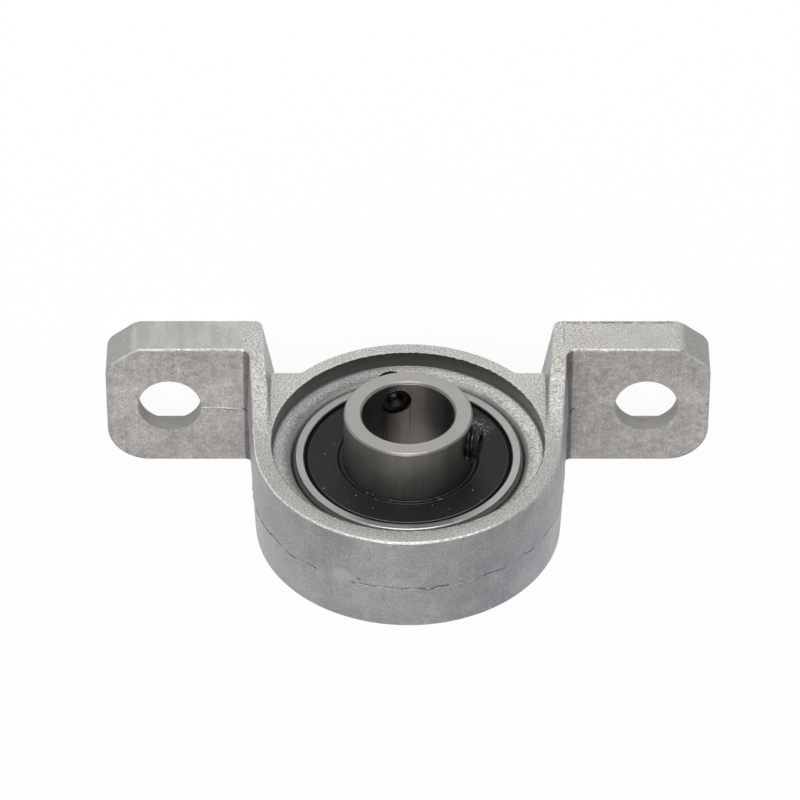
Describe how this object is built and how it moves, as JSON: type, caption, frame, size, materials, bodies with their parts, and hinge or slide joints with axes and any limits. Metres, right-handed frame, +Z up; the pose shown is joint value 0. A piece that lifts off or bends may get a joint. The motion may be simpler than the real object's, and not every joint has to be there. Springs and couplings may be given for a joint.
{
  "type": "pillow block bearing",
  "caption": "Die-cast pillow block with bolt feet holding a self-aligning, sealed ball bearing insert whose extended collar locks to a shaft with radial set screws.",
  "frame": {"origin": "centre of the bearing, where the shaft axis crosses the housing's parting plane, midway between the two bolt holes and 18 mm above the mounting plane", "axes": "+Z up from the mounting plane to the shaft, X along the feet, shaft axis along Y with the collar and set screws facing -Y"},
  "size_m": [0.067, 0.018, 0.035],
  "materials": {
    "cast_housing": "as-cast zinc alloy, fine grain, drafted faces with a parting line",
    "bearing_rings": "ground bearing steel",
    "balls": "polished",
    "cage": "pressed sheet steel",
    "seal_rubber": "moulded nitrile rubber, matt",
    "seal_washer": "pressed sheet steel",
    "set_screws": "black oxide, oiled"
  },
  "bodies": {
    "housing": {"housing": "cast_housing"},
    "insert": {"outer_ring": "bearing_rings", "seal_front": "seal_rubber", "seal_front_core": "seal_washer", "seal_back": "seal_rubber", "seal_back_core": "seal_washer"},
    "inner": {"inner_ring": "bearing_rings"},
    "cage": {"cage_front": "cage", "cage_back": "cage", "cage_rivets": "cage"},
    "screw_1": {"set_screw_1": "set_screws"},
    "screw_2": {"set_screw_2": "set_screws"},
    "rolling_1": {"ball_1": "balls"},
    "rolling_2": {"ball_2": "balls"},
    "rolling_3": {"ball_3": "balls"},
    "rolling_4": {"ball_4": "balls"},
    "rolling_5": {"ball_5": "balls"},
    "rolling_6": {"ball_6": "balls"},
    "rolling_7": {"ball_7": "balls"}
  },
  "joints": [
    {"name": "insert_tilt", "type": "hinge", "parent": "housing", "child": "insert", "pos_m": [0, 0, 0], "axis": [1, 0, 0], "range_deg": [-2, 2]},
    {"name": "inner_spin", "type": "hinge", "parent": "insert", "child": "inner", "pos_m": [0, 0, 0], "axis": [0, -1, 0], "continuous": true},
    {"name": "cage_spin", "type": "hinge", "parent": "insert", "child": "cage", "pos_m": [0, 0, 0], "axis": [0, -1, 0], "continuous": true},
    {"name": "ball_1_spin", "type": "hinge", "parent": "cage", "child": "rolling_1", "pos_m": [0, 0, 0.009], "axis": [0, -1, 0], "continuous": true},
    {"name": "ball_2_spin", "type": "hinge", "parent": "cage", "child": "rolling_2", "pos_m": [-0.00704, 0, 0.00561], "axis": [0, -1, 0], "continuous": true},
    {"name": "ball_3_spin", "type": "hinge", "parent": "cage", "child": "rolling_3", "pos_m": [-0.00877, 0, -0.002], "axis": [0, -1, 0], "continuous": true},
    {"name": "ball_4_spin", "type": "hinge", "parent": "cage", "child": "rolling_4", "pos_m": [-0.0039, 0, -0.00811], "axis": [0, -1, 0], "continuous": true},
    {"name": "ball_5_spin", "type": "hinge", "parent": "cage", "child": "rolling_5", "pos_m": [0.0039, 0, -0.00811], "axis": [0, -1, 0], "continuous": true},
    {"name": "ball_6_spin", "type": "hinge", "parent": "cage", "child": "rolling_6", "pos_m": [0.00877, 0, -0.002], "axis": [0, -1, 0], "continuous": true},
    {"name": "ball_7_spin", "type": "hinge", "parent": "cage", "child": "rolling_7", "pos_m": [0.00704, 0, 0.00561], "axis": [0, -1, 0], "continuous": true},
    {"name": "set_screw_1_travel", "type": "slide", "parent": "inner", "child": "screw_1", "axis": [0.2588, 0, -0.9659], "range_m": [-0.00035, 0.0013]},
    {"name": "set_screw_2_travel", "type": "slide", "parent": "inner", "child": "screw_2", "axis": [-0.9659, 0, 0.2588], "range_m": [-0.00005, 0.0016]}
  ],
  "couplings": [
    {"joint": "cage_spin", "follows": "inner_spin", "ratio": 0.36771},
    {"joint": "ball_1_spin", "follows": "inner_spin", "ratio": -1.7575},
    {"joint": "ball_2_spin", "follows": "inner_spin", "ratio": -1.7575},
    {"joint": "ball_3_spin", "follows": "inner_spin", "ratio": -1.7575},
    {"joint": "ball_4_spin", "follows": "inner_spin", "ratio": -1.7575},
    {"joint": "ball_5_spin", "follows": "inner_spin", "ratio": -1.7575},
    {"joint": "ball_6_spin", "follows": "inner_spin", "ratio": -1.7575},
    {"joint": "ball_7_spin", "follows": "inner_spin", "ratio": -1.7575}
  ]
}
